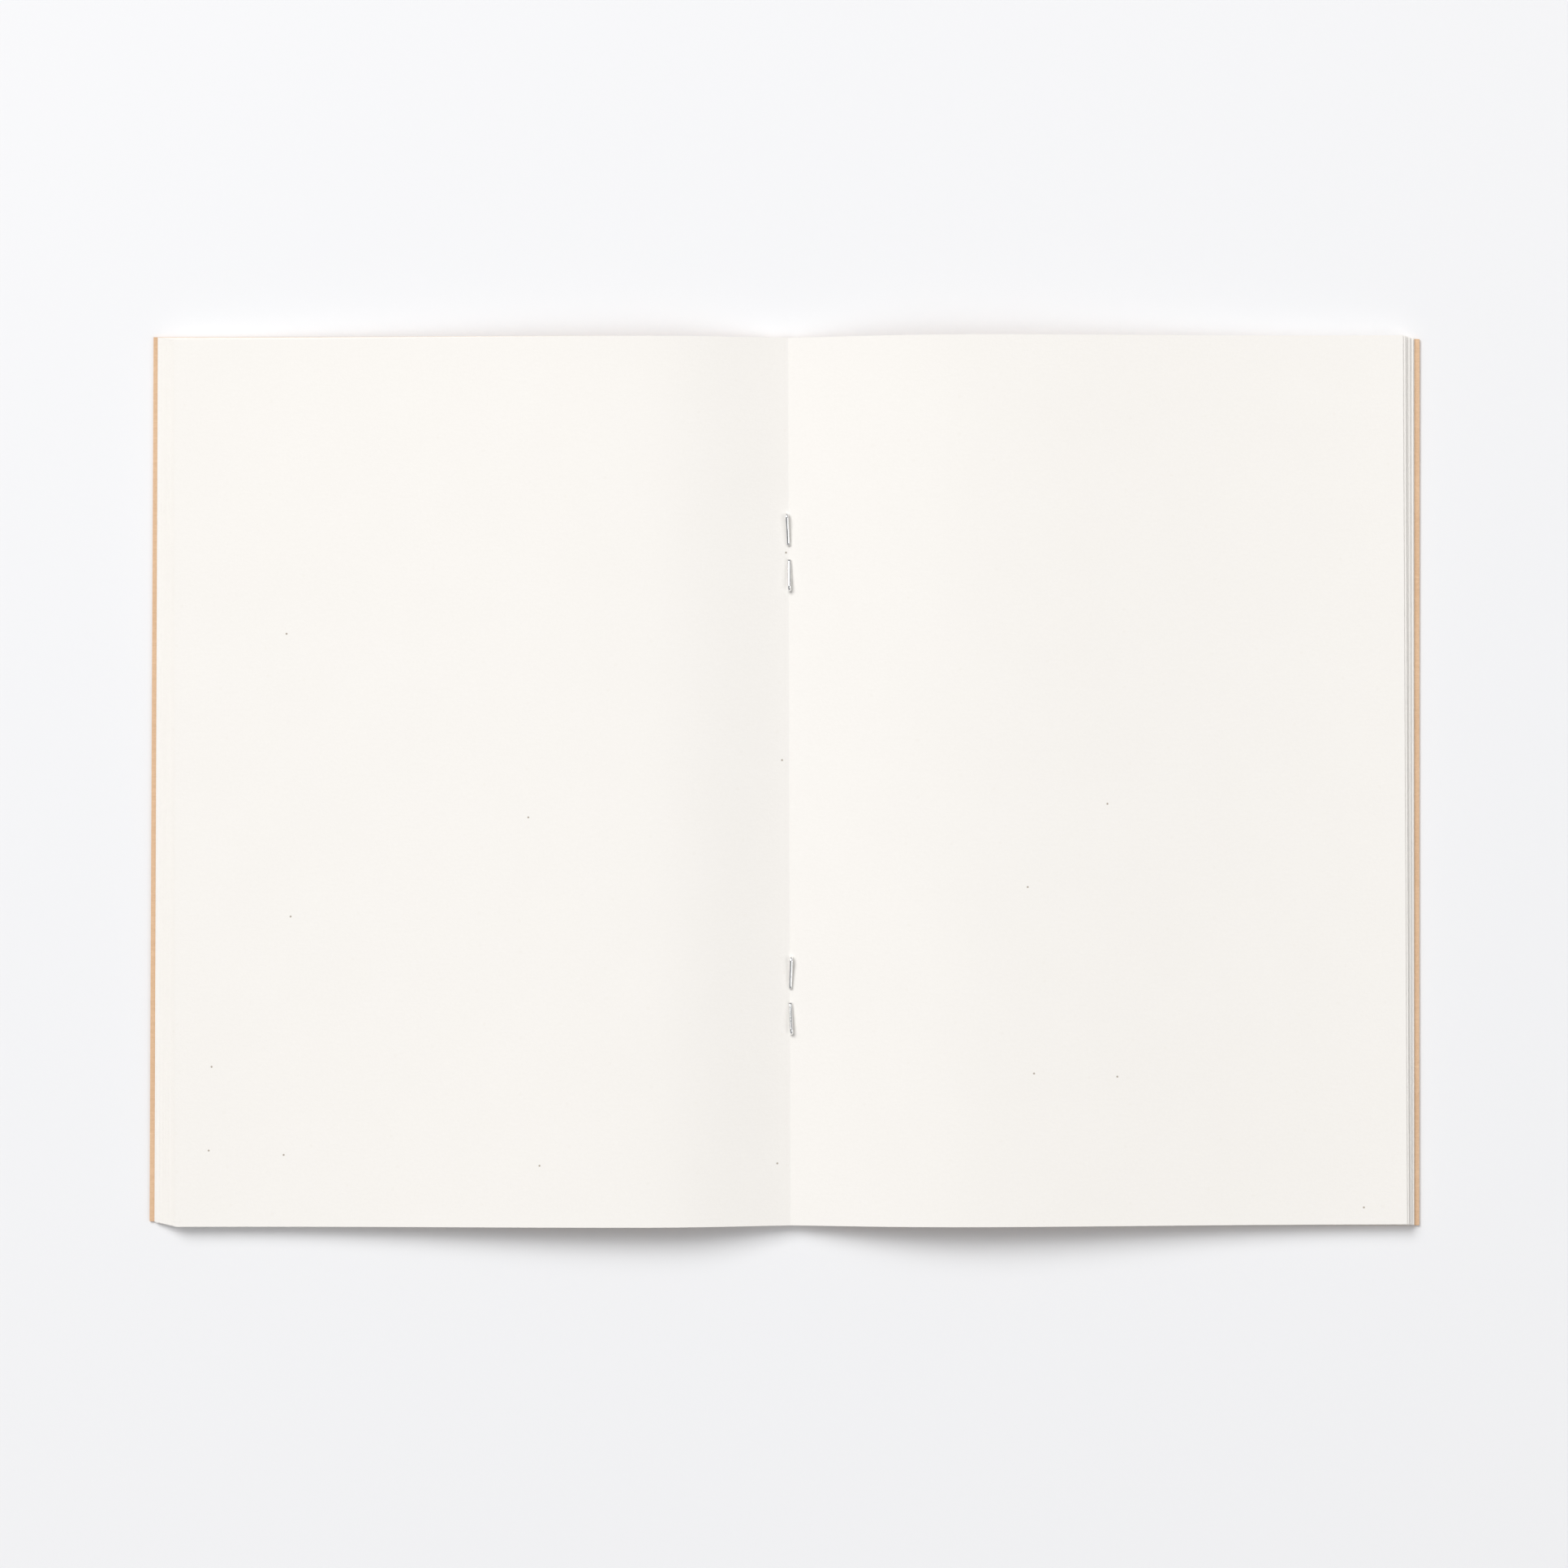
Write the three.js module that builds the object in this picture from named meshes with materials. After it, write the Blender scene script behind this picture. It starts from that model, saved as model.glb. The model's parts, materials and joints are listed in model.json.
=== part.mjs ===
// A small stapled sketchbook lying open at its centre spread: a kraft card cover, eight folded sheets of
// drawing paper nested inside it, and two wire staples through the fold. Millimetres, +Z up, +Y to the head
// of the pages, +X to the right. The origin is on the table, under the middle of the cover's spine.
//
// Every sheet is one piece of paper with three regions that move differently: a narrow fold that the staples
// hold, and a leaf on each side of it. The leaves are drawn flat, as they lie when pressed down.
import * as THREE from 'three';

// ---- driving dimensions: cover and paper ----
const PAGE_HEIGHT = 124;
const COVER_HALF_WIDTH = 88.8;
const COVER_THICKNESS = 0.3;
const SHEET_COUNT = 8;
const PAPER_THICKNESS = 0.2;
const AIR_GAP = 0.03;              // between neighbouring sheets in the pile
const FOLD_HALF_WIDTH = 1.75;      // from a sheet's fold line to the start of its leaf
const CREASE_GAP = 0.15;           // between a fold strip and its leaves
const OUTER_SHEET_STEP = 0.66;     // the outermost sheet's edge behind the cover's edge
const SHEET_STEP = 0.32;           // each further sheet's edge behind its neighbour's

// The pile has slipped a little on its staples, most at the centre sheet. A shift is to the right.
const OUTER_SHEET_SHIFT = -0.06;
const CENTRE_SHEET_SHIFT = 0.65;
const CENTRE_SHEET_DROP = 0.15;    // towards the foot
const CENTRE_SHEET_TURN = THREE.MathUtils.degToRad(0.3);

// ---- driving dimensions: staples ----
const WIRE_DIAMETER = 0.5;
const STAPLE_LENGTH = 11;
const LEG_TIP_GAP = 2;             // between the two clinched ends
const CLINCH_LIFT = 0.45;          // under the wire where a leg turns over, above the centre fold
const TIP_LIFT = 0.04;             // under the wire at its cut end
const BEND_RADIUS = 0.5;
const WIRE_CLEARANCE = 0.12;
const WIRE_SIDES = 8;
const WIRE_STEPS = 80;

// middle is the staple's place along the spine. footX and headX are where its two legs come through, and
// footTipX and headTipX are where the clinched ends point.
const STAPLES = {
  staple_foot: { middle: -30.1, footX: 1.05, headX: 1, footTipX: 0.75, headTipX: 0.8 },
  staple_head: { middle: 31.8, footX: 0.6, headX: 0.2, footTipX: 0.55, headTipX: 0.55 },
};

// ---- worked out from them ----
const SHEET_PITCH = PAPER_THICKNESS + AIR_GAP;
const PILE_TOP = COVER_THICKNESS + SHEET_COUNT * SHEET_PITCH;
const WIRE_RADIUS = WIRE_DIAMETER / 2;
const LEG_Y = STAPLE_LENGTH / 2 - WIRE_RADIUS;
const HOLE_HALF_WIDTH = WIRE_RADIUS + WIRE_CLEARANCE;
const CROWN_AXIS_Z = WIRE_RADIUS;
const CLINCH_AXIS_Z = PILE_TOP + CLINCH_LIFT + WIRE_RADIUS;
const TIP_AXIS_Z = PILE_TOP + TIP_LIFT + WIRE_RADIUS;

// Sheet 1 is the centre spread on top of the open pile, and the last sheet lies on the cover.
const sheetsBelow = (sheet) => SHEET_COUNT - sheet;
const sheetBottom = (sheet) => COVER_THICKNESS + AIR_GAP + sheetsBelow(sheet) * SHEET_PITCH;
const sheetHalfWidth = (sheet) => COVER_HALF_WIDTH - OUTER_SHEET_STEP - sheetsBelow(sheet) * SHEET_STEP;
const sheetShift = (sheet) =>
  THREE.MathUtils.mapLinear(sheet, SHEET_COUNT, 1, OUTER_SHEET_SHIFT, CENTRE_SHEET_SHIFT);
const slipShare = (sheet) => (SHEET_COUNT + 1 - sheet) / SHEET_COUNT;

const kraftCard = () => new THREE.MeshStandardMaterial({ color: 0xc79a6b, roughness: 0.9, metalness: 0 });
const drawingPaper = () => new THREE.MeshStandardMaterial({ color: 0xf6f3ea, roughness: 0.95, metalness: 0 });
const stapleWire = () => new THREE.MeshStandardMaterial({ color: 0xc4c6c8, roughness: 0.3, metalness: 1 });

function named(name, geometry, material) {
  const mesh = new THREE.Mesh(geometry, material);
  mesh.name = name;
  return mesh;
}

function outlineOf(PathClass, corners) {
  const outline = new PathClass();
  outline.setFromPoints(corners);
  outline.closePath();
  return outline;
}

function flatPiece(outline, bottom, thickness) {
  const geometry = new THREE.ExtrudeGeometry(outline, { depth: thickness, bevelEnabled: false });
  geometry.translate(0, 0, bottom);
  return geometry;
}

// A full-height strip of card or paper between two distances from the fold line.
function strip(left, right, holes, bottom, thickness) {
  const half = PAGE_HEIGHT / 2;
  const outline = outlineOf(THREE.Shape, [
    new THREE.Vector2(left, -half),
    new THREE.Vector2(right, -half),
    new THREE.Vector2(right, half),
    new THREE.Vector2(left, half),
  ]);
  outline.holes.push(...holes);
  return flatPiece(outline, bottom, thickness);
}

const leftBoard = (halfWidth, bottom, thickness) => strip(-halfWidth, -FOLD_HALF_WIDTH, [], bottom, thickness);
const rightBoard = (halfWidth, bottom, thickness) => strip(FOLD_HALF_WIDTH, halfWidth, [], bottom, thickness);

// The opening that a staple needs between two of its own stretches along Y, counted from its middle. The
// corners are given in the frame of the sheet, which has slipped from the staple's.
function wireOpening(staple, from, to, toSheet) {
  const xAt = (y) => THREE.MathUtils.mapLinear(y, -LEG_Y, LEG_Y, staple.footX, staple.headX);
  const corner = (y, side) => toSheet(new THREE.Vector2(xAt(y) + side * HOLE_HALF_WIDTH, staple.middle + y));
  return outlineOf(THREE.Path, [corner(from, -1), corner(from, 1), corner(to, 1), corner(to, -1)]);
}

// Near the cover the whole crown is pulled into the paper. Further up, each leg has its own hole, which
// starts a bend's width inside the leg, where the wire turns.
function stapleOpenings(bottom, toSheet) {
  const near = LEG_Y - BEND_RADIUS - WIRE_CLEARANCE;
  const far = LEG_Y + HOLE_HALF_WIDTH;
  const stretches = bottom < WIRE_DIAMETER ? [[-far, far]] : [[-far, -near], [near, far]];
  return Object.values(STAPLES).flatMap((staple) =>
    stretches.map(([from, to]) => wireOpening(staple, from, to, toSheet)),
  );
}

function fold(bottom, thickness, toSheet) {
  const half = FOLD_HALF_WIDTH - CREASE_GAP;
  return strip(-half, half, stapleOpenings(bottom, toSheet), bottom, thickness);
}

// Straight runs of wire with a round bend at each inner corner.
function bentPath(corners, radius) {
  const path = new THREE.CurvePath();
  let start = corners[0];
  for (let i = 1; i < corners.length - 1; i += 1) {
    const corner = corners[i];
    const back = corners[i - 1].clone().sub(corner).setLength(radius).add(corner);
    const ahead = corners[i + 1].clone().sub(corner).setLength(radius).add(corner);
    path.add(new THREE.LineCurve3(start, back));
    path.add(new THREE.QuadraticBezierCurve3(back, corner, ahead));
    start = ahead;
  }
  path.add(new THREE.LineCurve3(start, corners[corners.length - 1]));
  return path;
}

// A staple closed through the fold: crown under the spine, two legs up through the sheets, and both ends
// clinched towards each other over the centre fold.
function stapleGeometry({ middle, footX, headX, footTipX, headTipX }) {
  const tipY = LEG_TIP_GAP / 2;
  const corners = [
    new THREE.Vector3(footTipX, middle - tipY, TIP_AXIS_Z),
    new THREE.Vector3(footX, middle - LEG_Y, CLINCH_AXIS_Z),
    new THREE.Vector3(footX, middle - LEG_Y, CROWN_AXIS_Z),
    new THREE.Vector3(headX, middle + LEG_Y, CROWN_AXIS_Z),
    new THREE.Vector3(headX, middle + LEG_Y, CLINCH_AXIS_Z),
    new THREE.Vector3(headTipX, middle + tipY, TIP_AXIS_Z),
  ];
  const section = new THREE.Shape();
  section.absarc(0, 0, WIRE_RADIUS, 0, 2 * Math.PI, false);
  return new THREE.ExtrudeGeometry(section, {
    steps: WIRE_STEPS,
    curveSegments: WIRE_SIDES,
    bevelEnabled: false,
    extrudePath: bentPath(corners, BEND_RADIUS),
  });
}

function cover() {
  const group = new THREE.Group();
  const asItLies = (point) => point;
  group.add(named('cover_back', rightBoard(COVER_HALF_WIDTH, 0, COVER_THICKNESS), kraftCard()));
  group.add(named('cover_front', leftBoard(COVER_HALF_WIDTH, 0, COVER_THICKNESS), kraftCard()));
  group.add(named('cover_spine', fold(0, COVER_THICKNESS, asItLies), kraftCard()));
  return group;
}

function foldedSheet(sheet) {
  const share = slipShare(sheet);
  const slip = new THREE.Vector2(sheetShift(sheet), -CENTRE_SHEET_DROP * share);
  const turn = CENTRE_SHEET_TURN * share;
  const toSheet = (point) => point.clone().sub(slip).rotateAround(new THREE.Vector2(), -turn);

  const halfWidth = sheetHalfWidth(sheet);
  const bottom = sheetBottom(sheet);
  const group = new THREE.Group();
  group.position.set(slip.x, slip.y, 0);
  group.rotation.z = turn;
  const leftLeaf = leftBoard(halfWidth, bottom, PAPER_THICKNESS);
  const rightLeaf = rightBoard(halfWidth, bottom, PAPER_THICKNESS);
  group.add(named(`sheet_${sheet}_left_leaf`, leftLeaf, drawingPaper()));
  group.add(named(`sheet_${sheet}_right_leaf`, rightLeaf, drawingPaper()));
  group.add(named(`sheet_${sheet}_fold`, fold(bottom, PAPER_THICKNESS, toSheet), drawingPaper()));
  return group;
}

const sketchbook = new THREE.Group();
sketchbook.add(cover());
for (let sheet = 1; sheet <= SHEET_COUNT; sheet += 1) {
  sketchbook.add(foldedSheet(sheet));
}
for (const [name, staple] of Object.entries(STAPLES)) {
  sketchbook.add(named(name, stapleGeometry(staple), stapleWire()));
}

export default sketchbook;
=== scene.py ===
"""Looks for a small stapled sketchbook that lies open at its centre spread.

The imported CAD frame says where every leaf, fold and staple is. This script draws the same pieces as the
real ones look: paper that arches out of the gutter, a pressed fold, kraft card and bright wire.
Everything is in metres. Layers are counted from the table up: the cover, then sheet 8 to sheet 1.
"""

import json
import math

import bmesh
import bpy
import numpy as np
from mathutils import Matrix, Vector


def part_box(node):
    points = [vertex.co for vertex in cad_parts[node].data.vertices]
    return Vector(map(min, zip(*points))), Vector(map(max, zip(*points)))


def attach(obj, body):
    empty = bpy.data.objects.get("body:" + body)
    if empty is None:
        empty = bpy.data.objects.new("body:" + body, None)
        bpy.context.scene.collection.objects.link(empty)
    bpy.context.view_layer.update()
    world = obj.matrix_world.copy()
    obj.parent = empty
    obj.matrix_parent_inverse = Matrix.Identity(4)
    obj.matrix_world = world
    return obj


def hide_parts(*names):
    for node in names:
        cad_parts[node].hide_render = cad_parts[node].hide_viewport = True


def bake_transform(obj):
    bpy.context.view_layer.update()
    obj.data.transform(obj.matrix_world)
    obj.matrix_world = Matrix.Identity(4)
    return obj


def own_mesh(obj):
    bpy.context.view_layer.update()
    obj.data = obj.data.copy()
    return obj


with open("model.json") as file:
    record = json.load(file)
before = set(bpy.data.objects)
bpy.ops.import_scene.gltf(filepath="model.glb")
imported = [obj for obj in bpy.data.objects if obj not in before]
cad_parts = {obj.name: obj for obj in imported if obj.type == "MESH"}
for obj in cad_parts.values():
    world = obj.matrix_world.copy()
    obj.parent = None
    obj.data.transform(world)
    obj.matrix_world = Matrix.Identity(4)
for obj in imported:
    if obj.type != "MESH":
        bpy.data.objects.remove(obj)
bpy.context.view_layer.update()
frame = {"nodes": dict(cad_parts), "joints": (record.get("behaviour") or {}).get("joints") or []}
MM = 0.001

# ---- camera, light and stage ----
CAMERA_PLACE = (4.52 * MM, -8.6 * MM, 600 * MM)
CAMERA_TURN_DEG = (0.77, 0.44, 0.14)
LENS = 98.3
SENSOR_WIDTH = 36.0
NEAREST_SEEN = 0.01
FARTHEST_SEEN = 20.0
KEY_DIRECTION = (-0.48, 0.64, 1.0)
KEY_DISTANCE = 2.35
KEY_SIZE = 1.41
KEY_POWER = 50.8
FILL_DIRECTION = (0.8, -0.25, 1.0)
FILL_DISTANCE = 2.2
FILL_SIZE = 1.5
FILL_POWER = 12.2
WORLD_COLOR = (0.975, 0.98, 1.0)
WORLD_STRENGTH = 0.345           # low around the studio walls
WORLD_ZENITH_STRENGTH = 0.03     # straight up, where the camera hangs
ZENITH_EDGE = (0.90, 0.985)      # upward share of a direction where the dark part starts and is full
FLOOR_SIZE = 6.0
FLOOR_DROP = 0.04 * MM

# ---- the book ----
SHEET_COUNT = 8
PAGE_HALF_HEIGHT = (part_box("cover_back")[1].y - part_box("cover_back")[0].y) / 2
FOLD_REACH = 1.6 * MM              # from a fold line to the end of its pressed part
LEAST_REACH = 0.5 * MM             # from a fold line to the leaf's own piece, at the centre sheet
FOLD_PRESS = 0.80                  # how thin paper and card are pressed along the fold
FOLD_SKIN = 0.003 * MM             # air between pressed layers
SPINE_GAP = 0.42 * MM              # the spine over the table, held up by the arches beside it
CROWN_SINK = 0.20 * MM             # how deep a staple's crown presses into the card
CREASE_SHARPNESS = 0.75            # slope at the crease as a share of the fold's mean slope
GUTTER_LIFT = 0.14 * MM            # of a leaf at the end of the pressed part, over its flat place

# The arch of the open leaves, for the left side (-1) and the right side (1).
ARCH_HEIGHT = {-1: 2.85 * MM, 1: 3.2 * MM}
ARCH_CREST = {-1: 19 * MM, 1: 25 * MM}     # from the fold line to the highest place
GUTTER_SLOPE = {-1: 0.22, 1: 0.19}         # where the arch leaves the pressed part
ARCH_TAIL = 2.5                    # how fast the arch dies away towards the fore edge
COVER_ARCH_SHARE = 0.93            # the cover's arch, as a share of the centre sheet's
HEAD_ARCH_SHARE = 0.94             # the arch at the head, as a share of the arch at the foot
WAVE_HEIGHT = 0.05 * MM
WAVES_ACROSS = 2.3                 # half waves between the fold line and the fore edge
WAVES_UP_PAGE = 1.7                # half waves between the foot and the head
WAVE_START = 12 * MM               # past the pressed part, where the waves and the air are full
LEAF_SPREAD = 0.022 * MM           # how far neighbouring leaves stand apart, at most
LEAST_SPREAD = 0.1                 # the least that they do, as a share of LEAF_SPREAD
SPREAD_PLACES = 6                  # foot and head of the gutter, the middle and the fore edge
TRIM_ERROR = 0.09 * MM             # how far a sheet's fore edge is from its CAD place, at most
SEED = 11

# ---- the meshes of leaves and folds ----
LEAF_COLUMNS = 46
LEAF_ROWS = 50
FOLD_COLUMNS = 24
COLUMN_CROWDING = 1.7              # over 1, a leaf's columns crowd towards its fold
CRISP_ANGLE_DEG = 35               # edges that turn more than this stay sharp
CUT_EDGE_MATERIAL = 1              # place of the cut edges' material on every sheet: a lighter copy of the face's material, painted light on the cut edges
GRAIN_SHIFT = 97                   # moves each layer's grain along, per metre of its height
PIERCE_REACH = 1.4 * MM            # each side of a leg, where rows are close together
PIERCE_ROW_STEP = 0.2 * MM
LEAST_ROW_STEP = PIERCE_ROW_STEP / 4
PIERCE_RISE = 0.11 * MM            # of the paper pushed up beside a leg
PIERCE_WIDTH = 0.42 * MM

# ---- staples ----
STAPLES = ("staple_foot", "staple_head")
WIRE_DIAMETER = 0.5 * MM
WIRE_SIDES = 18
WIRE_STEP = 0.12 * MM
BEND_RADIUS = 0.55 * MM
BEND_POINTS = 10
LAST_RUN_POINTS = 40               # along the straight run to the last cut end
TIP_CHISEL = 0.35                  # thickness of a cut end, as a share of the wire's
CHISEL_RINGS = 3                   # rings of the wire that a chisel cut thins
TIP_STAND = 0.05 * MM              # under a cut end, over the crease
STANDING_PART = (0.35, 0.65)       # shares of a staple's height between which only its legs lie
UPPER_PART = 0.6                   # share of its height over which its clinched ends lie
TIP_DEPTH = 0.02 * MM              # from the very end of a clinched end, where its tip is measured

# ---- colours, and the parts of noise that are in use. A pair of colours is light, then dark. ----
KRAFT_COLORS = ((0.76, 0.53, 0.345), (0.625, 0.405, 0.245))
# The kraft on the cut edges is lighter than on the faces: painted light that brightens edges lying in shade.
KRAFT_EDGE_PAINTED_LIGHT_COLORS = ((0.80, 0.585, 0.41), (0.68, 0.46, 0.30))
KRAFT_FLECK = (0.33, 0.19, 0.10)
KRAFT_PALE_FLECK = (0.90, 0.72, 0.52)
PAPER_COLORS = ((0.856, 0.832, 0.795), (0.826, 0.800, 0.760))
# The paper on the cut edges is lighter than on the faces: painted light that brightens the edge fans lying
# in shade.
PAPER_EDGE_PAINTED_LIGHT_COLORS = ((0.874, 0.856, 0.825), (0.846, 0.826, 0.790))
PAPER_SPECK = (0.40, 0.35, 0.29)
PAPER_PALE_SPECK = (0.74, 0.70, 0.63)
ZINC_DULL = (0.84, 0.845, 0.85)
ZINC_BRIGHT = (0.93, 0.935, 0.935)
ZINC_SPOT = (0.66, 0.66, 0.65)
FLOOR_DARK = (0.802, 0.803, 0.811)
FLOOR_LIGHT = (0.812, 0.812, 0.820)
NOISE_RANGE = (0.3, 0.7)
NARROW_NOISE = (0.35, 0.65)
SPECK_CORE = 0.6                   # share of a speck's radius that has its full colour

JOINTS = {joint["name"]: joint for joint in frame["joints"]}


def link(obj):
    bpy.context.scene.collection.objects.link(obj)
    return obj


def smooth(t):
    t = np.clip(t, 0, 1)
    return t * t * (3 - 2 * t)


def hermite(t, start, start_slope, end, end_slope):
    """A cubic from start to end as t goes from 0 to 1. The slopes are per unit of t."""
    t2, t3 = t * t, t * t * t
    from_start = start * (2 * t3 - 3 * t2 + 1) + start_slope * (t3 - 2 * t2 + t)
    return from_start + end * (3 * t2 - 2 * t3) + end_slope * (t3 - t2)


# ---- camera, lights, world and floor ----
def make_camera():
    data = bpy.data.cameras.new("camera")
    data.sensor_width = SENSOR_WIDTH
    data.lens = LENS
    data.clip_start = NEAREST_SEEN
    data.clip_end = FARTHEST_SEEN
    camera = link(bpy.data.objects.new("camera", data))
    camera.location = CAMERA_PLACE
    camera.rotation_euler = [math.radians(angle) for angle in CAMERA_TURN_DEG]
    bpy.context.scene.camera = camera


def make_area_light(name, direction, distance, size, power):
    data = bpy.data.lights.new(name, "AREA")
    data.shape = "SQUARE"
    data.size = size
    data.energy = power
    light = link(bpy.data.objects.new(name, data))
    light.location = np.array(direction) / np.linalg.norm(direction) * distance
    light.rotation_euler = light.location.to_track_quat("Z", "Y").to_euler()


def make_world():
    """An even pale studio that darkens straight up, where the camera hangs."""
    world = bpy.data.worlds.new("studio")
    world.use_nodes = True
    background = world.node_tree.nodes["Background"]
    background.inputs["Color"].default_value = (*WORLD_COLOR, 1)
    nodes, links = world.node_tree.nodes, world.node_tree.links
    direction = nodes.new("ShaderNodeTexCoord")
    parts = nodes.new("ShaderNodeSeparateXYZ")
    dim = nodes.new("ShaderNodeMapRange")
    dim.interpolation_type = "SMOOTHSTEP"
    dim.inputs["From Min"].default_value = ZENITH_EDGE[0]
    dim.inputs["From Max"].default_value = ZENITH_EDGE[1]
    dim.inputs["To Min"].default_value = WORLD_STRENGTH
    dim.inputs["To Max"].default_value = WORLD_ZENITH_STRENGTH
    links.new(direction.outputs["Generated"], parts.inputs["Vector"])
    links.new(parts.outputs["Z"], dim.inputs["Value"])
    links.new(dim.outputs["Result"], background.inputs["Strength"])
    bpy.context.scene.world = world


def make_floor():
    mesh = bpy.data.meshes.new("floor")
    reach = FLOOR_SIZE / 2
    corners = [(-reach, -reach, 0), (reach, -reach, 0), (reach, reach, 0), (-reach, reach, 0)]
    mesh.from_pydata(corners, [], [(0, 1, 2, 3)])
    floor = link(bpy.data.objects.new("floor", mesh))
    floor.location.z = -FLOOR_DROP
    mesh.materials.append(floor_material())


def make_studio():
    make_area_light("key_light", KEY_DIRECTION, KEY_DISTANCE, KEY_SIZE, KEY_POWER)
    make_area_light("fill_light", FILL_DIRECTION, FILL_DISTANCE, FILL_SIZE, FILL_POWER)
    make_world()
    bpy.context.scene.view_settings.view_transform = "Standard"
    make_floor()


# ---- materials ----
class Graph:
    """A material's node tree, with short calls for the nodes that these materials share."""

    def __init__(self, name):
        self.material = bpy.data.materials.new(name)
        self.material.use_nodes = True
        self.nodes = self.material.node_tree.nodes
        self.links = self.material.node_tree.links
        self.shader = self.nodes["Principled BSDF"]

    def node(self, kind, **values):
        made = self.nodes.new(kind)
        for key, value in values.items():
            setattr(made, key, value)
        return made

    def join(self, output, socket):
        self.links.new(output, socket)

    def coordinates(self, scale=(1, 1, 1), turn=0.0, uv=True):
        source = self.node("ShaderNodeUVMap", uv_map="leaf") if uv else self.node("ShaderNodeTexCoord")
        mapping = self.node("ShaderNodeMapping")
        mapping.inputs["Scale"].default_value = scale
        mapping.inputs["Rotation"].default_value[2] = turn
        self.join(source.outputs["UV" if uv else "Object"], mapping.inputs["Vector"])
        return mapping.outputs["Vector"]

    def noise(self, vector, scale, detail=3.0, roughness=0.5):
        made = self.node("ShaderNodeTexNoise")
        made.inputs["Scale"].default_value = scale
        made.inputs["Detail"].default_value = detail
        made.inputs["Roughness"].default_value = roughness
        self.join(vector, made.inputs["Vector"])
        return made.outputs["Fac"]

    def remap(self, value, source, target):
        """The value moved from one range to another, and kept inside it."""
        made = self.node("ShaderNodeMapRange", clamp=True)
        made.inputs["From Min"].default_value, made.inputs["From Max"].default_value = source
        made.inputs["To Min"].default_value, made.inputs["To Max"].default_value = target
        self.join(value, made.inputs["Value"])
        return made.outputs["Result"]

    def math(self, operation, first, second):
        made = self.node("ShaderNodeMath", operation=operation)
        for socket, value in zip(made.inputs, (first, second)):
            if isinstance(value, (int, float)):
                socket.default_value = value
            else:
                self.join(value, socket)
        return made.outputs["Value"]

    def mix(self, factor, first, second):
        made = self.node("ShaderNodeMix", data_type="RGBA")
        self.join(factor, made.inputs["Factor"])
        colors = [socket for socket in made.inputs if socket.type == "RGBA"]
        for socket, value in zip(colors, (first, second)):
            if isinstance(value, tuple):
                socket.default_value = (*value, 1)
            else:
                self.join(value, socket)
        return next(socket for socket in made.outputs if socket.type == "RGBA")

    def bump(self, height, distance, strength=1.0, under=None):
        made = self.node("ShaderNodeBump")
        made.inputs["Distance"].default_value = distance
        made.inputs["Strength"].default_value = strength
        self.join(height, made.inputs["Height"])
        if under is not None:
            self.join(under, made.inputs["Normal"])
        return made.outputs["Normal"]

    def fibres(self, stretch, scale, turns):
        """Fine crossing fibres: thin stretched noise at several angles, the strongest kept."""
        total = None
        for turn in turns:
            strand = self.noise(self.coordinates((1, stretch, 1), turn), scale, detail=2.0)
            total = strand if total is None else self.math("MAXIMUM", total, strand)
        return total

    def specks(self, cell, radius, share, offset):
        """Sparse round specks: a few cells of a grid hold one, and the rest hold none."""
        source = self.node("ShaderNodeUVMap", uv_map="leaf")
        moved = self.node("ShaderNodeVectorMath", operation="ADD")
        self.join(source.outputs["UV"], moved.inputs[0])
        moved.inputs[1].default_value = (offset, offset, 0)
        cells = self.node("ShaderNodeTexVoronoi", voronoi_dimensions="2D")
        cells.inputs["Scale"].default_value = 1 / cell
        self.join(moved.outputs["Vector"], cells.inputs["Vector"])
        near = self.remap(cells.outputs["Distance"], (SPECK_CORE * radius / cell, radius / cell), (1, 0))
        parts = self.node("ShaderNodeSeparateColor")
        self.join(cells.outputs["Color"], parts.inputs["Color"])
        chosen = self.math("LESS_THAN", parts.outputs["Red"], share)
        return self.math("MULTIPLY", near, chosen)

    def finish(self, color, roughness, normal):
        self.join(color, self.shader.inputs["Base Color"])
        self.join(roughness, self.shader.inputs["Roughness"])
        self.join(normal, self.shader.inputs["Normal"])
        return self.material


def paper_material(name, light, dark):
    """Uncoated drawing paper: soft clouds in its tone, faint fibres, rare specks and a fine tooth."""
    graph = Graph(name)
    clouds = graph.remap(graph.noise(graph.coordinates(), scale=90.0, detail=3.0), NOISE_RANGE, (0.35, 0.65))
    fibres = graph.fibres(stretch=5.0, scale=620.0, turns=(0.3, 1.4, 2.5))
    grain = graph.noise(graph.coordinates(), scale=2600.0, detail=3.0, roughness=0.6)
    tone = graph.math("MULTIPLY", clouds, graph.remap(fibres, (0.5, 0.78), (0.55, 1.0)))
    tone = graph.math("ADD", tone, graph.remap(grain, NOISE_RANGE, (-0.22, 0.22)))
    color = graph.mix(tone, dark, light)
    dark_specks = graph.specks(cell=11.5 * MM, radius=0.17 * MM, share=0.14, offset=0.31)
    color = graph.mix(dark_specks, color, PAPER_SPECK)
    pale_specks = graph.specks(cell=6.0 * MM, radius=0.28 * MM, share=0.3, offset=0.77)
    color = graph.mix(graph.math("MULTIPLY", pale_specks, 0.12), color, PAPER_PALE_SPECK)
    roughness = graph.remap(grain, NOISE_RANGE, (0.86, 0.97))
    normal = graph.bump(fibres, distance=0.012 * MM, strength=0.5)
    normal = graph.bump(grain, distance=0.02 * MM, strength=0.55, under=normal)
    graph.shader.inputs["Specular IOR Level"].default_value = 0.3
    return graph.finish(color, roughness, normal)


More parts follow.
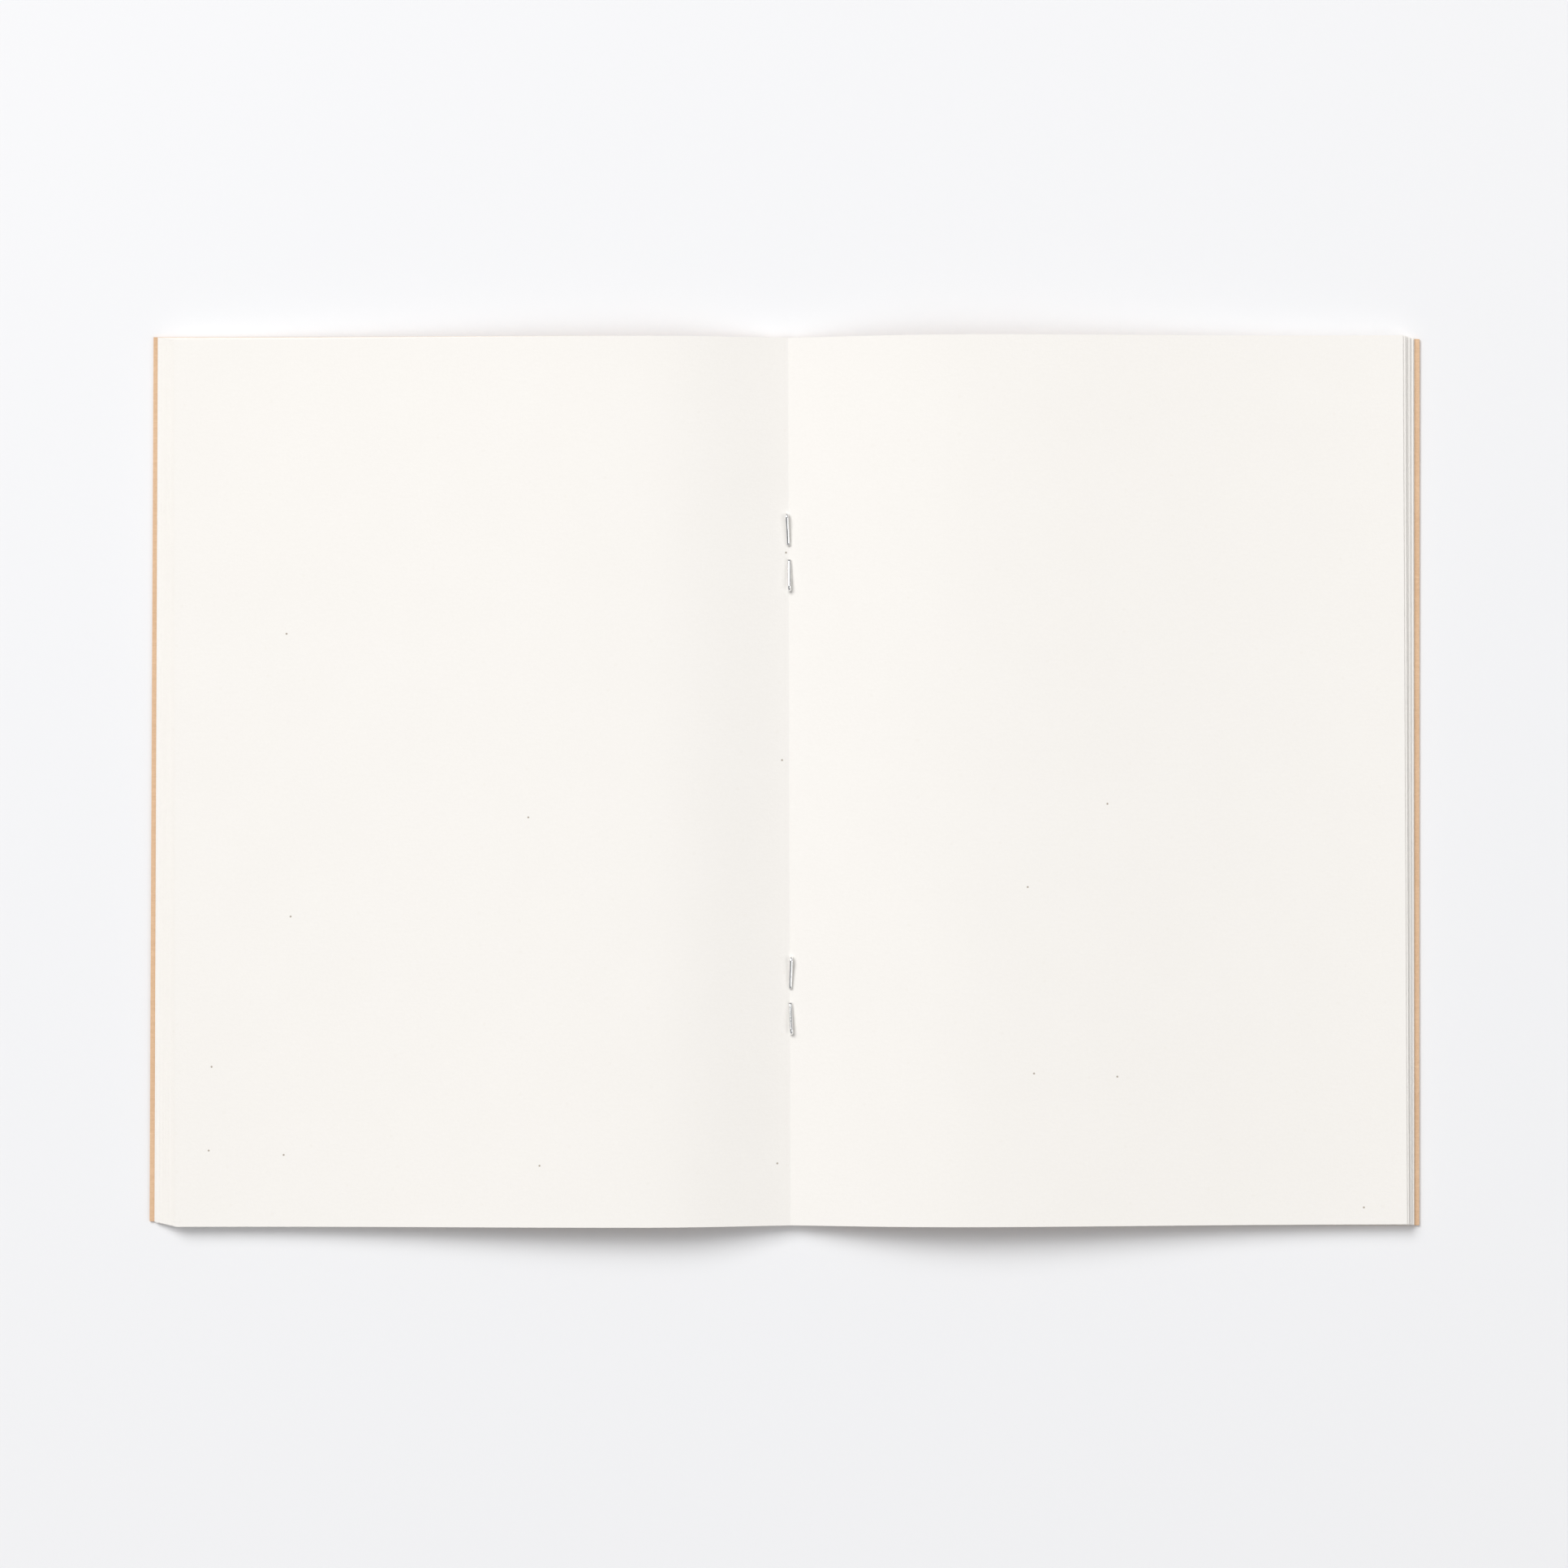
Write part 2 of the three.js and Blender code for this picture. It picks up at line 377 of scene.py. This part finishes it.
def kraft_material(name, light, dark):
    """Unbleached kraft card: long crossing fibres, darker flecks, cloudy tone and a felt surface."""
    graph = Graph(name)
    clouds = graph.remap(graph.noise(graph.coordinates(), scale=90.0, detail=6.0), NOISE_RANGE, (0, 1))
    fibres = graph.fibres(stretch=7.0, scale=480.0, turns=(0.1, 0.9, 1.7, 2.6))
    strands = graph.remap(fibres, (0.52, 0.8), (0, 1))
    grain = graph.noise(graph.coordinates(), scale=2100.0, detail=4.0, roughness=0.65)
    lines = graph.noise(graph.coordinates((1, 9, 1)), scale=160.0, detail=2.0)
    tone = graph.math("ADD", graph.math("MULTIPLY", clouds, 0.35), graph.math("MULTIPLY", strands, 0.4))
    tone = graph.math("ADD", tone, graph.remap(grain, NOISE_RANGE, (-0.2, 0.25)))
    tone = graph.math("ADD", tone, graph.remap(lines, NARROW_NOISE, (-0.06, 0.08)))
    color = graph.mix(tone, dark, light)
    flecks = graph.specks(cell=2.6 * MM, radius=0.16 * MM, share=0.35, offset=0.13)
    color = graph.mix(graph.math("MULTIPLY", flecks, 0.55), color, KRAFT_FLECK)
    pale_flecks = graph.specks(cell=3.4 * MM, radius=0.2 * MM, share=0.3, offset=0.59)
    color = graph.mix(graph.math("MULTIPLY", pale_flecks, 0.4), color, KRAFT_PALE_FLECK)
    roughness = graph.remap(grain, NOISE_RANGE, (0.74, 0.92))
    normal = graph.bump(strands, distance=0.02 * MM, strength=0.6)
    normal = graph.bump(grain, distance=0.025 * MM, strength=0.6, under=normal)
    graph.shader.inputs["Specular IOR Level"].default_value = 0.35
    return graph.finish(color, roughness, normal)


def wire_material():
    """Bright galvanised wire: drawing lines along it, a cloudy zinc tone and small dull spots."""
    graph = Graph("staple_wire")
    drawn = graph.noise(graph.coordinates((1, 0.04, 1), uv=False), scale=16000.0, detail=3.0)
    zinc = graph.noise(graph.coordinates(uv=False), scale=1400.0, detail=4.0)
    blots = graph.noise(graph.coordinates(uv=False), scale=3800.0, detail=2.0)
    spots = graph.remap(blots, (0.62, 0.75), (0, 1))
    color = graph.mix(graph.remap(zinc, NARROW_NOISE, (0, 1)), ZINC_DULL, ZINC_BRIGHT)
    color = graph.mix(graph.math("MULTIPLY", spots, 0.3), color, ZINC_SPOT)
    polish = graph.remap(zinc, NOISE_RANGE, (0.12, 0.19))
    roughness = graph.math("ADD", polish, graph.math("MULTIPLY", spots, 0.1))
    graph.shader.inputs["Metallic"].default_value = 1.0
    return graph.finish(color, roughness, graph.bump(drawn, distance=0.001 * MM, strength=0.25))


def floor_material():
    """Smooth pale studio card, with the faintest unevenness of tone."""
    graph = Graph("studio_floor")
    clouds = graph.noise(graph.coordinates(uv=False), scale=9.0, detail=2.0)
    grain = graph.noise(graph.coordinates(uv=False), scale=1500.0, detail=2.0)
    color = graph.mix(clouds, FLOOR_DARK, FLOOR_LIGHT)
    roughness = graph.remap(grain, NOISE_RANGE, (0.9, 0.97))
    graph.shader.inputs["Specular IOR Level"].default_value = 0.2
    return graph.finish(color, roughness, graph.bump(grain, distance=0.01 * MM, strength=0.2))


# ---- layers of card and paper ----
class Layer:
    """One folded layer of the open book, the cover or a sheet, with its own fold line."""

    def __init__(self, name, joint, nodes, bodies, slot, materials):
        self.name = name
        self.nodes = nodes
        self.bodies = bodies
        self.slot = slot
        self.materials = materials
        self.origin = np.array(JOINTS[joint]["pos_m"])
        self.along = np.array(JOINTS[joint]["axis"], float)
        self.across = np.cross(self.along, (0, 0, 1))
        low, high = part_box(nodes[-1])
        self.thickness = high.z - low.z
        self.middle_z = (high.z + low.z) / 2
        corner_lean = PAGE_HALF_HEIGHT * abs(self.along[0])
        self.half_width = (self.origin[0] - low.x - corner_lean) / self.across[0]
        self.arch_share = 1.0
        self.reach = FOLD_REACH
        self.spread = {-1: np.zeros(SPREAD_PLACES), 1: np.zeros(SPREAD_PLACES)}
        self.trim = {-1: 0.0, 1: 0.0}

    def point(self, across, along, height):
        """The place of a point given by its distances from the fold line and its height."""
        place = self.origin + np.outer(across, self.across) + np.outer(along, self.along)
        place[:, 2] = height
        return place


def make_layers(kraft, kraft_edge_painted_light, paper, paper_edge_painted_light):
    cover_nodes = {-1: "cover_front", 0: "cover_spine", 1: "cover_back"}
    cover_bodies = {-1: "front_cover", 1: "book_block"}
    materials = [kraft, kraft_edge_painted_light]
    layers = [Layer("cover", "front_cover_close", cover_nodes, cover_bodies, "kraft_cover", materials)]
    for sheet in range(SHEET_COUNT, 0, -1):
        name = f"sheet_{sheet}"
        nodes = {-1: f"{name}_left_leaf", 0: f"{name}_fold", 1: f"{name}_right_leaf"}
        bodies = {-1: f"left_leaf_{sheet}", 1: f"right_leaf_{sheet}"}
        materials = [paper, paper_edge_painted_light]
        layers.append(Layer(name, f"{name}_left_close", nodes, bodies, "drawing_paper", materials))
    return layers


def set_reaches(layers):
    """Where each fold's bending piece ends. Nested sheets bend more tightly the nearer they are to the
    hinge line over the pile."""
    depths = [layer.origin[2] - layer.middle_z for layer in layers]
    for layer, depth in zip(layers, depths):
        layer.reach = max(LEAST_REACH, FOLD_REACH * depth / max(depths))


def spread_layers(layers):
    """Each leaf stands a little off the one under it, unevenly, as loose paper does."""
    for place, layer in enumerate(layers):
        layer.arch_share = COVER_ARCH_SHARE + (1 - COVER_ARCH_SHARE) * place / SHEET_COUNT
    draw = np.random.default_rng(SEED)
    for under, layer in zip(layers, layers[1:]):
        for side in (-1, 1):
            layer.spread[side] = under.spread[side] + draw.uniform(LEAST_SPREAD, 1.0, SPREAD_PLACES)
            layer.trim[side] = draw.uniform(-TRIM_ERROR, TRIM_ERROR)


def up_the_page(along):
    """How far up the page a place is, from 0 at the foot to 1 at the head."""
    return (along / PAGE_HALF_HEIGHT + 1) / 2


def arch_scale(layer, along):
    """How strong the arch is in one layer at one place up the page."""
    return layer.arch_share * (1 + (HEAD_ARCH_SHARE - 1) * smooth(up_the_page(along)))


def leaf_height(layers, layer, side, distance, along):
    """The height of a leaf's middle: the arch out of the gutter, slow waves, and the air under it."""
    crest = ARCH_CREST[side]
    rise = np.clip((distance - FOLD_REACH) / (crest - FOLD_REACH), 0, 1)
    slope = GUTTER_SLOPE[side] * (crest - FOLD_REACH)
    fall = np.clip((distance - crest) / (layer.half_width - crest), 0, 1)
    climb = hermite(rise, GUTTER_LIFT, slope, ARCH_HEIGHT[side], 0)
    arch = climb * (1 - fall) ** ARCH_TAIL * (1 + ARCH_TAIL * fall) * arch_scale(layer, along)

    up_page = up_the_page(along)
    off_gutter = smooth((distance - FOLD_REACH) / WAVE_START)
    reach = distance / layer.half_width
    waves = 1 + np.sin(WAVES_ACROSS * math.pi * reach + WAVES_UP_PAGE * math.pi * up_page + side)
    feet_and_heads = layer.spread[side].reshape(-1, 2)
    near, middle, outer = (foot + (head - foot) * up_page for foot, head in feet_and_heads)
    between = near + (middle - near) * smooth(2 * reach) + (outer - middle) * smooth(2 * reach - 1)
    air = off_gutter * (WAVE_HEIGHT * waves + LEAF_SPREAD * between)
    pressed = fold_height(layers, layer, side * distance, along)
    return np.where(distance < FOLD_REACH, pressed, layer.middle_z + arch + air)


def crisp_edges():
    """A modifier group that keeps a piece smooth except across its cut edges."""
    group = bpy.data.node_groups.new("crisp_cut_edges", "GeometryNodeTree")
    group.interface.new_socket("Geometry", in_out="INPUT", socket_type="NodeSocketGeometry")
    group.interface.new_socket("Geometry", in_out="OUTPUT", socket_type="NodeSocketGeometry")
    source = group.nodes.new("NodeGroupInput")
    result = group.nodes.new("NodeGroupOutput")
    angle = group.nodes.new("GeometryNodeInputMeshEdgeAngle")
    compare = group.nodes.new("FunctionNodeCompare")
    compare.operation = "GREATER_THAN"
    compare.inputs["B"].default_value = math.radians(CRISP_ANGLE_DEG)
    shade = group.nodes.new("GeometryNodeSetShadeSmooth")
    shade.domain = "EDGE"
    shade.inputs["Shade Smooth"].default_value = False
    group.links.new(angle.outputs["Unsigned Angle"], compare.inputs["A"])
    group.links.new(compare.outputs["Result"], shade.inputs["Selection"])
    group.links.new(source.outputs["Geometry"], shade.inputs["Geometry"])
    group.links.new(shade.outputs["Geometry"], result.inputs["Geometry"])
    return group


CRISP_EDGES = crisp_edges()


def grid_mesh(name, rows, columns):
    """A mesh of rows by columns, with its points still to be placed."""
    mesh = bpy.data.meshes.new(name)
    faces = []
    for row in range(rows - 1):
        for column in range(columns - 1):
            corner = row * columns + column
            faces.append((corner, corner + 1, corner + columns + 1, corner + columns))
    mesh.from_pydata([(0, 0, 0)] * (rows * columns), [], faces)
    return mesh


def surface(name, layer, across, along, height, thickness):
    """A sheet through a grid of points, with real thickness and its cut edges in their own material, a
    lighter copy that paints light on them.
    """
    rows, columns = across.shape
    mesh = grid_mesh(name, rows, columns)
    points = layer.point(across.ravel(), along.ravel(), height.ravel())
    mesh.vertices.foreach_set("co", points.ravel())
    uv = mesh.uv_layers.new(name="leaf")
    corner_vertices = np.zeros(len(mesh.loops), int)
    mesh.loops.foreach_get("vertex_index", corner_vertices)
    flat = np.stack([across.ravel() + layer.middle_z * GRAIN_SHIFT, along.ravel()], axis=1)
    uv.data.foreach_set("uv", flat[corner_vertices].ravel())
    mesh.update()
    for polygon in mesh.polygons:
        polygon.use_smooth = True
    for material in layer.materials:
        mesh.materials.append(material)
    piece = link(bpy.data.objects.new(name, mesh))
    solidify = piece.modifiers.new("thickness", "SOLIDIFY")
    solidify.thickness = thickness
    solidify.offset = 0
    # The rims take the lighter edge copy: painted light on the cut edges.
    solidify.material_offset_rim = CUT_EDGE_MATERIAL
    piece.modifiers.new("cut_edges", "NODES").node_group = CRISP_EDGES
    return piece


def leaf(layers, layer, side, rows, legs):
    """One leaf, or one board of the cover, from its fold piece to its fore edge."""
    t = np.linspace(0, 1, LEAF_COLUMNS)
    columns = layer.reach + (layer.half_width + layer.trim[side] - layer.reach) * t**COLUMN_CROWDING
    distance, along = np.meshgrid(columns[::side], rows)
    height = leaf_height(layers, layer, side, distance, along)
    height = height + PIERCE_RISE * pierce_burr(layer, side * distance, along, legs)
    name = f"{layer.nodes[side]}_sheet" if layer.name != "cover" else f"{layer.nodes[side]}_board"
    piece = surface(name, layer, side * distance, along, height, layer.thickness)
    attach(piece, layer.bodies[side])
    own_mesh(piece)
    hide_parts(layer.nodes[side])


# ---- the pressed folds ----
def fold_height(layers, layer, across, along):
    """The height of a fold's middle: pressed flat on its neighbours at the crease, and level with the arch
    of its leaves at the end of the pressed part."""
    pressed = [FOLD_PRESS * each.thickness + FOLD_SKIN for each in layers]
    place = layers.index(layer)
    crease = SPINE_GAP + sum(pressed[:place]) + pressed[place] / 2
    scale = arch_scale(layer, along)
    leaf_start = layer.middle_z + GUTTER_LIFT * scale
    leaf_slope = np.where(across < 0, GUTTER_SLOPE[-1], GUTTER_SLOPE[1]) * scale
    crease_climb = CREASE_SHARPNESS * (leaf_start - crease)
    share = np.abs(across) / FOLD_REACH
    return hermite(share, crease, crease_climb, leaf_start, leaf_slope * FOLD_REACH)


def pierced_rows():
    """Rows along a fold, close together where the staples' legs come through."""
    rows = list(np.linspace(-PAGE_HALF_HEIGHT, PAGE_HALF_HEIGHT, LEAF_ROWS))
    for staple in STAPLES:
        low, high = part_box(staple)
        for leg in (low.y + WIRE_DIAMETER / 2, high.y - WIRE_DIAMETER / 2):
            rows += list(np.arange(leg - PIERCE_REACH, leg + PIERCE_REACH, PIERCE_ROW_STEP))
    rows = np.sort(rows)
    apart = np.concatenate([[True], np.diff(rows) > LEAST_ROW_STEP])
    return rows[apart]


def pierce_burr(layer, across, along, legs):
    """Paper pushed up around each leg as the wire came through."""
    rise = np.zeros_like(across)
    for leg in legs:
        offset = np.array(leg) - layer.origin[:2]
        leg_across = offset @ layer.across[:2]
        leg_along = offset @ layer.along[:2]
        squared = (across - leg_across) ** 2 + (along - leg_along) ** 2
        rise += np.exp(-squared / PIERCE_WIDTH**2)
    return rise


def fold(layers, layer, name, first, last, legs):
    """A strip of a fold that curves between the leaves, from across=first to last."""
    columns = np.linspace(min(first, last), max(first, last), FOLD_COLUMNS)
    across, along = np.meshgrid(columns, pierced_rows())
    height = fold_height(layers, layer, across, along)
    height = height + PIERCE_RISE * pierce_burr(layer, across, along, legs)
    piece = surface(name, layer, across, along, height, FOLD_PRESS * layer.thickness)
    start, end = layer.point([first, last], [0, 0], [layer.middle_z, layer.middle_z])
    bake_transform(piece)
    return piece


def make_folds(layers, legs):
    for layer in layers[:-1]:
        name = "cover_spine_wrap" if layer.name == "cover" else f"{layer.nodes[0]}_strip"
        piece = fold(layers, layer, name, layer.reach, -layer.reach, [])
        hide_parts(layer.nodes[0])
    centre = layers[-1]
    for side, word in ((-1, "left"), (1, "right")):
        name = f"{centre.nodes[0]}_{word}_half"
        piece = fold(layers, centre, name, 0, side * centre.reach, legs)
        if side < 0:
            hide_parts(centre.nodes[0])


# ---- staples ----
def mean_point(points, chosen):
    return points[chosen].mean(axis=0)


def staple_corners(node, crown_z, tip_z):
    """The corners of a staple's centre line, from one cut end to the other, read from its CAD solid. The
    crown is up at crown_z, in the lifted spine, and the cut ends come down to tip_z, on the pressed fold."""
    points = np.array([v.co for v in frame["nodes"][node].data.vertices], float)
    low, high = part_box(node)
    radius = WIRE_DIAMETER / 2
    middle = (low.y + high.y) / 2
    height = points[:, 2]
    leg_low, leg_high = (low.z + share * (high.z - low.z) for share in STANDING_PART)
    standing = (height > leg_low) & (height < leg_high)
    upper = height > low.z + UPPER_PART * (high.z - low.z)
    corners = []
    for side in (-1, 1):
        half = (points[:, 1] - middle) * side > 0
        leg = mean_point(points, half & standing)
        inward = np.abs(points[:, 1] - middle)
        tip_distance = inward[half & upper].min()
        tip = mean_point(points, half & upper & (inward < tip_distance + TIP_DEPTH))
        leg_y = middle + side * (high.y - middle - radius)
        ends = [
            (tip[0], tip[1], tip_z),
            (leg[0], leg_y, high.z - radius),
            (leg[0], leg_y, crown_z),
        ]
        corners += ends if side < 0 else ends[::-1]
    return [np.array(corner) for corner in corners]


def rounded_path(corners):
    """Points along the wire, with a round bend at each inner corner."""
    path = []
    start = corners[0]
    for before, corner, after in zip(corners, corners[1:], corners[2:]):
        back = corner + (before - corner) / np.linalg.norm(before - corner) * BEND_RADIUS
        ahead = corner + (after - corner) / np.linalg.norm(after - corner) * BEND_RADIUS
        count = max(2, int(np.linalg.norm(back - start) / WIRE_STEP))
        path += [start + (back - start) * t for t in np.linspace(0, 1, count, endpoint=False)]
        bend = np.linspace(0, 1, BEND_POINTS, endpoint=False)
        path += [(1 - t) ** 2 * back + 2 * t * (1 - t) * corner + t * t * ahead for t in bend]
        start = ahead
    path += [start + (corners[-1] - start) * t for t in np.linspace(0, 1, LAST_RUN_POINTS)]
    return np.array(path)


def wire_mesh(name, path):
    """A round wire along a path, with its two ends cut to a chisel."""
    mesh = bmesh.new()
    tangents = np.gradient(path, axis=0)
    tangents /= np.linalg.norm(tangents, axis=1)[:, None]
    sideways = np.array((1.0, 0, 0))
    angles = np.linspace(0, 2 * math.pi, WIRE_SIDES, endpoint=False)
    radius = WIRE_DIAMETER / 2
    rings = []
    for number, (center, tangent) in enumerate(zip(path, tangents)):
        sideways = sideways - tangent * (sideways @ tangent)
        sideways /= np.linalg.norm(sideways)
        upward = np.cross(tangent, sideways)
        from_end = min(number, len(path) - 1 - number)
        flat = TIP_CHISEL + (1 - TIP_CHISEL) * min(from_end, CHISEL_RINGS) / CHISEL_RINGS
        ring = [
            mesh.verts.new(center + radius * (math.cos(a) * sideways + flat * math.sin(a) * upward))
            for a in angles
        ]
        rings.append(ring)
    for ring, after in zip(rings, rings[1:]):
        for i in range(WIRE_SIDES):
            j = (i + 1) % WIRE_SIDES
            mesh.faces.new((ring[i], ring[j], after[j], after[i]))
    mesh.faces.new(rings[0][::-1])
    mesh.faces.new(rings[-1])
    bmesh.ops.recalc_face_normals(mesh, faces=mesh.faces)
    for face in mesh.faces:
        face.smooth = len(face.verts) == 4
    data = bpy.data.meshes.new(name)
    mesh.to_mesh(data)
    mesh.free()
    return data


def make_staples(layers):
    """Both staples, returning where their legs come through the centre fold."""
    material = wire_material()
    centre = layers[-1]
    crease = fold_height(layers, centre, np.zeros(1), np.zeros(1))[0]
    tip_z = crease + FOLD_PRESS * centre.thickness / 2 + TIP_STAND + WIRE_DIAMETER / 2
    crown_z = SPINE_GAP + CROWN_SINK - WIRE_DIAMETER / 2
    legs = []
    for staple in STAPLES:
        corners = staple_corners(staple, crown_z, tip_z)
        data = wire_mesh(f"{staple}_wire", rounded_path(corners))
        data.materials.append(material)
        wire = link(bpy.data.objects.new(f"{staple}_wire", data))
        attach(wire, "book_block")
        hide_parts(staple)
        _, foot_bend, _, _, head_bend, _ = corners
        legs += [foot_bend[:2], head_bend[:2]]
    return legs


def make_book():
    kraft = kraft_material("kraft_cover", *KRAFT_COLORS)
    # The edge copies of the kraft and the paper are lighter than the faces: painted light on cut edges in
    # shade.
    kraft_edge_painted_light = kraft_material("kraft_cut_edge_painted_light", *KRAFT_EDGE_PAINTED_LIGHT_COLORS)
    paper = paper_material("drawing_paper", *PAPER_COLORS)
    paper_edge_painted_light = paper_material("paper_cut_edge_painted_light", *PAPER_EDGE_PAINTED_LIGHT_COLORS)
    layers = make_layers(kraft, kraft_edge_painted_light, paper, paper_edge_painted_light)
    set_reaches(layers)
    spread_layers(layers)
    legs = make_staples(layers)
    make_folds(layers, legs)
    plain_rows = np.linspace(-PAGE_HALF_HEIGHT, PAGE_HALF_HEIGHT, LEAF_ROWS)
    for side in (-1, 1):
        for layer in layers[:-1]:
            leaf(layers, layer, side, plain_rows, [])
        leaf(layers, layers[-1], side, pierced_rows(), legs)


make_camera()
make_studio()
make_book()

bpy.context.view_layer.update()
